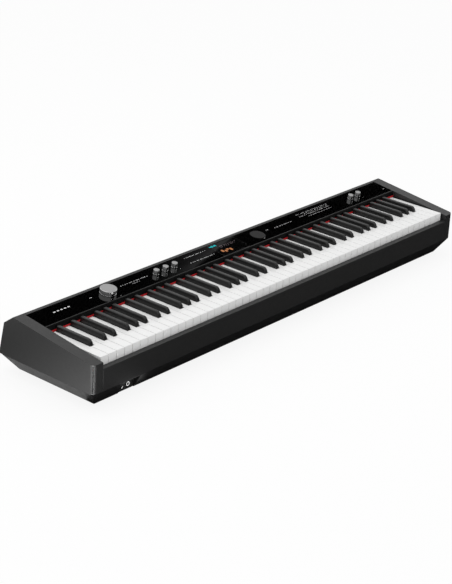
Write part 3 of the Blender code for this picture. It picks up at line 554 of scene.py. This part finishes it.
groups, whites = {}, 0
for note in range(LOWEST, HIGHEST + 1):
    if note % 12 in BLACK_SHIFT:
        x = whites * KEY_PITCH - KEYBOARD_HALF + BLACK_SHIFT[note % 12]
        groups.setdefault(black_key_body(note), []).append(x)
    else:
        whites += 1
for name, places in groups.items():
    is_comb = len(places) > 1
    grids = []
    for x in places:
        grids += [cap_grid(x), bar_grid(x - ARM_HALF, x + ARM_HALF, ARM)]
        if is_comb:
            grids.append(bar_grid(x - ARM_HALF, x + ARM_HALF, RISER))
    if is_comb:
        grids.append(bar_grid(min(places) - ARM_HALF, max(places) + ARM_HALF, BAR))
    cap = make_piece(name + "_cap", grids, name, [looks["ebony"]], smooth=50)
    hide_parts(name)
print("black keys:", sum(map(len, groups.values())), "in", len(groups), "pieces")

# %% [markdown]
# ## Knobs
# The knobs have flat satin tops and smooth bright sides. A bright upright side mirrors what lies
# in front of it, so it shows streaks of keys and dark panel without any pattern of its own. The
# profile is turned about the panel's normal, because the knobs stand square to the panel.

# %% Knobs
SILVER = plastic("satin_silver", ((0.27,), (0.32,)), (0.40, 0.50), 0.10, 1500, 0.0003)
KNOB_TOP, VOLUME_RADIUS, SMALL_RADIUS = 0.0119, 0.0189, 0.0067
RIM_SHARE, RIM_POINTS, KNOB_COLUMNS = 0.05, 6, 96
GROOVE_TOP, GROOVE_HIGH, GROOVE_LOW, GROOVE_FOOT, GROOVE_DEPTH = 0.0026, 0.0024, 0.0017, 0.0015, 0.0004
SKIRT_FOOT, KNOB_FOOT = 0.0005, 0.0004
TOP_BANDS = 4
KNOBS = {"volume_knob": -0.400, "effect_knob_1": -0.2475, "effect_knob_2": -0.2175,
         "effect_knob_3": -0.1875, "tone_knob_1": 0.4735, "tone_knob_2": 0.5035}


def knob_grid(x, radius):
    """A (radius, height) profile turned about the panel's normal: flat top, rounded rim, groove."""
    turn = np.arange(KNOB_COLUMNS) * 2 * math.pi / KNOB_COLUMNS
    rim, inner = radius * RIM_SHARE, radius - GROOVE_DEPTH
    arc = np.linspace(0, math.pi / 2, RIM_POINTS)
    profile = np.concatenate((
        ((0, KNOB_TOP), (radius * 0.55, KNOB_TOP)),
        np.stack((radius - rim + rim * np.sin(arc), KNOB_TOP - rim + rim * np.cos(arc)), 1),
        ((radius, GROOVE_TOP), (inner, GROOVE_HIGH), (inner, GROOVE_LOW), (radius, GROOVE_FOOT),
         (radius, SKIRT_FOOT), (radius * 0.5, KNOB_FOOT), (0, KNOB_FOOT)),
    ))
    across, uphill = profile[:, :1] * np.cos(turn), profile[:, :1] * np.sin(turn)
    lift = np.broadcast_to(profile[:, 1:], across.shape)
    slope = np.array((0, math.cos(TILT), math.sin(TILT)))
    return (on_panel(x, PANEL_MIDDLE) + across[..., None] * np.array((1, 0, 0))
            + uphill[..., None] * slope + lift[..., None] * panel_normal)


def top_then_side(rows):
    """Material 0 for the flat top's bands, 1 for the side."""
    return (np.arange(rows - 1) >= TOP_BANDS).astype(int)


for name, x in KNOBS.items():
    radius = VOLUME_RADIUS if name == "volume_knob" else SMALL_RADIUS
    finish = [SILVER, looks["chrome"]]
    cap = make_piece(name + "_cap", [knob_grid(x, radius)], name, finish, top_then_side)
    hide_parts(name)
print("knobs:", len(KNOBS))

# %% [markdown]
# ## Prints on the panel
# Small dots mark the ends of each knob's travel, and rows of plain dashes decorate the panel.
# They are real, very thin pads, so they stay in place when the camera moves.

# %% Dots and dashes
PRINT = plastic("pale_print", ((0.60,), (0.72,)), (0.5, 0.6), 0.0, 900, 0.0001)
VOLUME_REACH, SMALL_REACH, DOT_ANGLE, DOT_RADIUS = 0.029, 0.0147, math.radians(30), 0.0007
SQUARE_POWER = 6.0
SHORTEST, LONGEST, SPACES = 0.0012, 0.0030, (0.0016, 0.0022, 0.0048)

dots = []
for name, x in KNOBS.items():
    reach = VOLUME_REACH if name == "volume_knob" else SMALL_REACH
    down = PANEL_MIDDLE - reach * math.cos(DOT_ANGLE)
    for side in (-1, 1):
        dots.append(pad(x + side * reach * math.sin(DOT_ANGLE), down, DOT_RADIUS, DOT_RADIUS))
make_piece("travel_dots", dots, "case", [PRINT])


def dashes(x0, x1, y, height, seed):
    """Small bars of uneven length and height between two places along the keyboard."""
    rng = np.random.default_rng(seed)
    made, x = [], x0
    while x < x1 - 0.001:
        length = rng.uniform(SHORTEST, LONGEST)
        tall = height * rng.uniform(0.55, 1.0)
        place = y + rng.uniform(-0.3, 0.3) * (height - tall)
        made.append(pad(x + length / 2, place, length / 2, tall / 2, SQUARE_POWER, count=8))
        x += length + rng.choice(SPACES)
    return made


print("dots:", len(dots))

# %% [markdown]
# ## Rows of dashes
# Each row is given by its two ends along the keyboard in metres, and by its distance from the key
# fronts and its height in millimetres. The plain mark at the bass end is five equal bars.

# %% Rows and plain mark
MM = 0.001
ROWS = (
    (-0.452, -0.446, 192, 2.4), (-0.356, -0.269, 192, 2.6), (-0.325, -0.300, 185, 1.8),
    (-0.137, -0.063, 202, 2.4), (-0.141, -0.058, 178.5, 2.4), (0.107, 0.112, 166, 2.0),
    (0.143, 0.151, 191, 2.4), (0.172, 0.240, 188, 2.4), (0.273, 0.391, 203, 2.2),
    (0.300, 0.391, 198, 1.8), (0.273, 0.391, 192, 2.2), (0.300, 0.391, 183, 2.2),
    (0.600, 0.607, 176, 2.4),
)
MARK_X, MARK_Y, MARK_PITCH, MARK_HALF = -0.536, 191 * MM, 0.0104, (0.0031, 0.0017)
printed = []
for seed, (x0, x1, y, height) in enumerate(ROWS):
    printed += dashes(x0, x1, y * MM + KEY_FRONT, height * MM, seed)
make_piece("panel_dashes", printed, "case", [PRINT])
bars = [pad(MARK_X + MARK_PITCH * i, MARK_Y + KEY_FRONT, *MARK_HALF, SQUARE_POWER, count=12)
        for i in range(-2, 3)]
make_piece("plain_bar_mark", bars, "case", [PRINT])
print("dashes", len(printed), "bars", len(bars))

# %% [markdown]
# ## The display
# The glass is a solid already. What it shows is a generic level meter and a few coloured tiles,
# which glow a little, as a lit display does under studio light.

# %% Display
METER_X, METER_Y, METER_PITCH = -0.044, 207 * MM, 0.0028
TILE_X, TILE_Y, TILE_PITCH = -0.030, 178 * MM, 0.0085


def lit(name, tint, strength):
    """A dark surface that glows in one tint, a little unevenly."""
    made, wire, inputs = start(name)
    shade = grain(wire, 900).mix(colour(0.6, tint), colour(1.0, tint))
    feed(wire.tree, inputs, {
        "Base Color": colour(0.02, tint), "Emission Color": shade, "Emission Strength": strength,
        "Roughness": 0.1,
    })
    return made


CYAN = lit("lit_cyan", (0.0, 0.75, 0.80), 1.0)
AMBER = lit("lit_amber", (0.62, 0.25, 0.10), 0.9)
GREY = lit("lit_grey", (0.42, 0.34, 0.36), 1.0)
meter = [pad(METER_X + METER_PITCH * i, METER_Y + KEY_FRONT - 0.0008 * (i % 3),
             0.0010, 0.0016 + 0.0007 * (i % 4), SQUARE_POWER, count=8) for i in range(8)]
make_piece("display_meter", meter, "case", [CYAN])
tiles = [pad(TILE_X + TILE_PITCH * i, TILE_Y + KEY_FRONT - 0.004 * (i % 2),
             0.0034, 0.0050 - 0.001 * (i % 3), 5.0, count=12) for i in range(4)]
make_piece("display_tiles", tiles, "case", [AMBER])
lines = (dashes(-0.020, 0.038, 198 * MM + KEY_FRONT, 0.0014, 40)
         + dashes(-0.020, 0.030, 193 * MM + KEY_FRONT, 0.0012, 41))
make_piece("display_dashes", lines, "case", [GREY])
print("display pieces: 3")
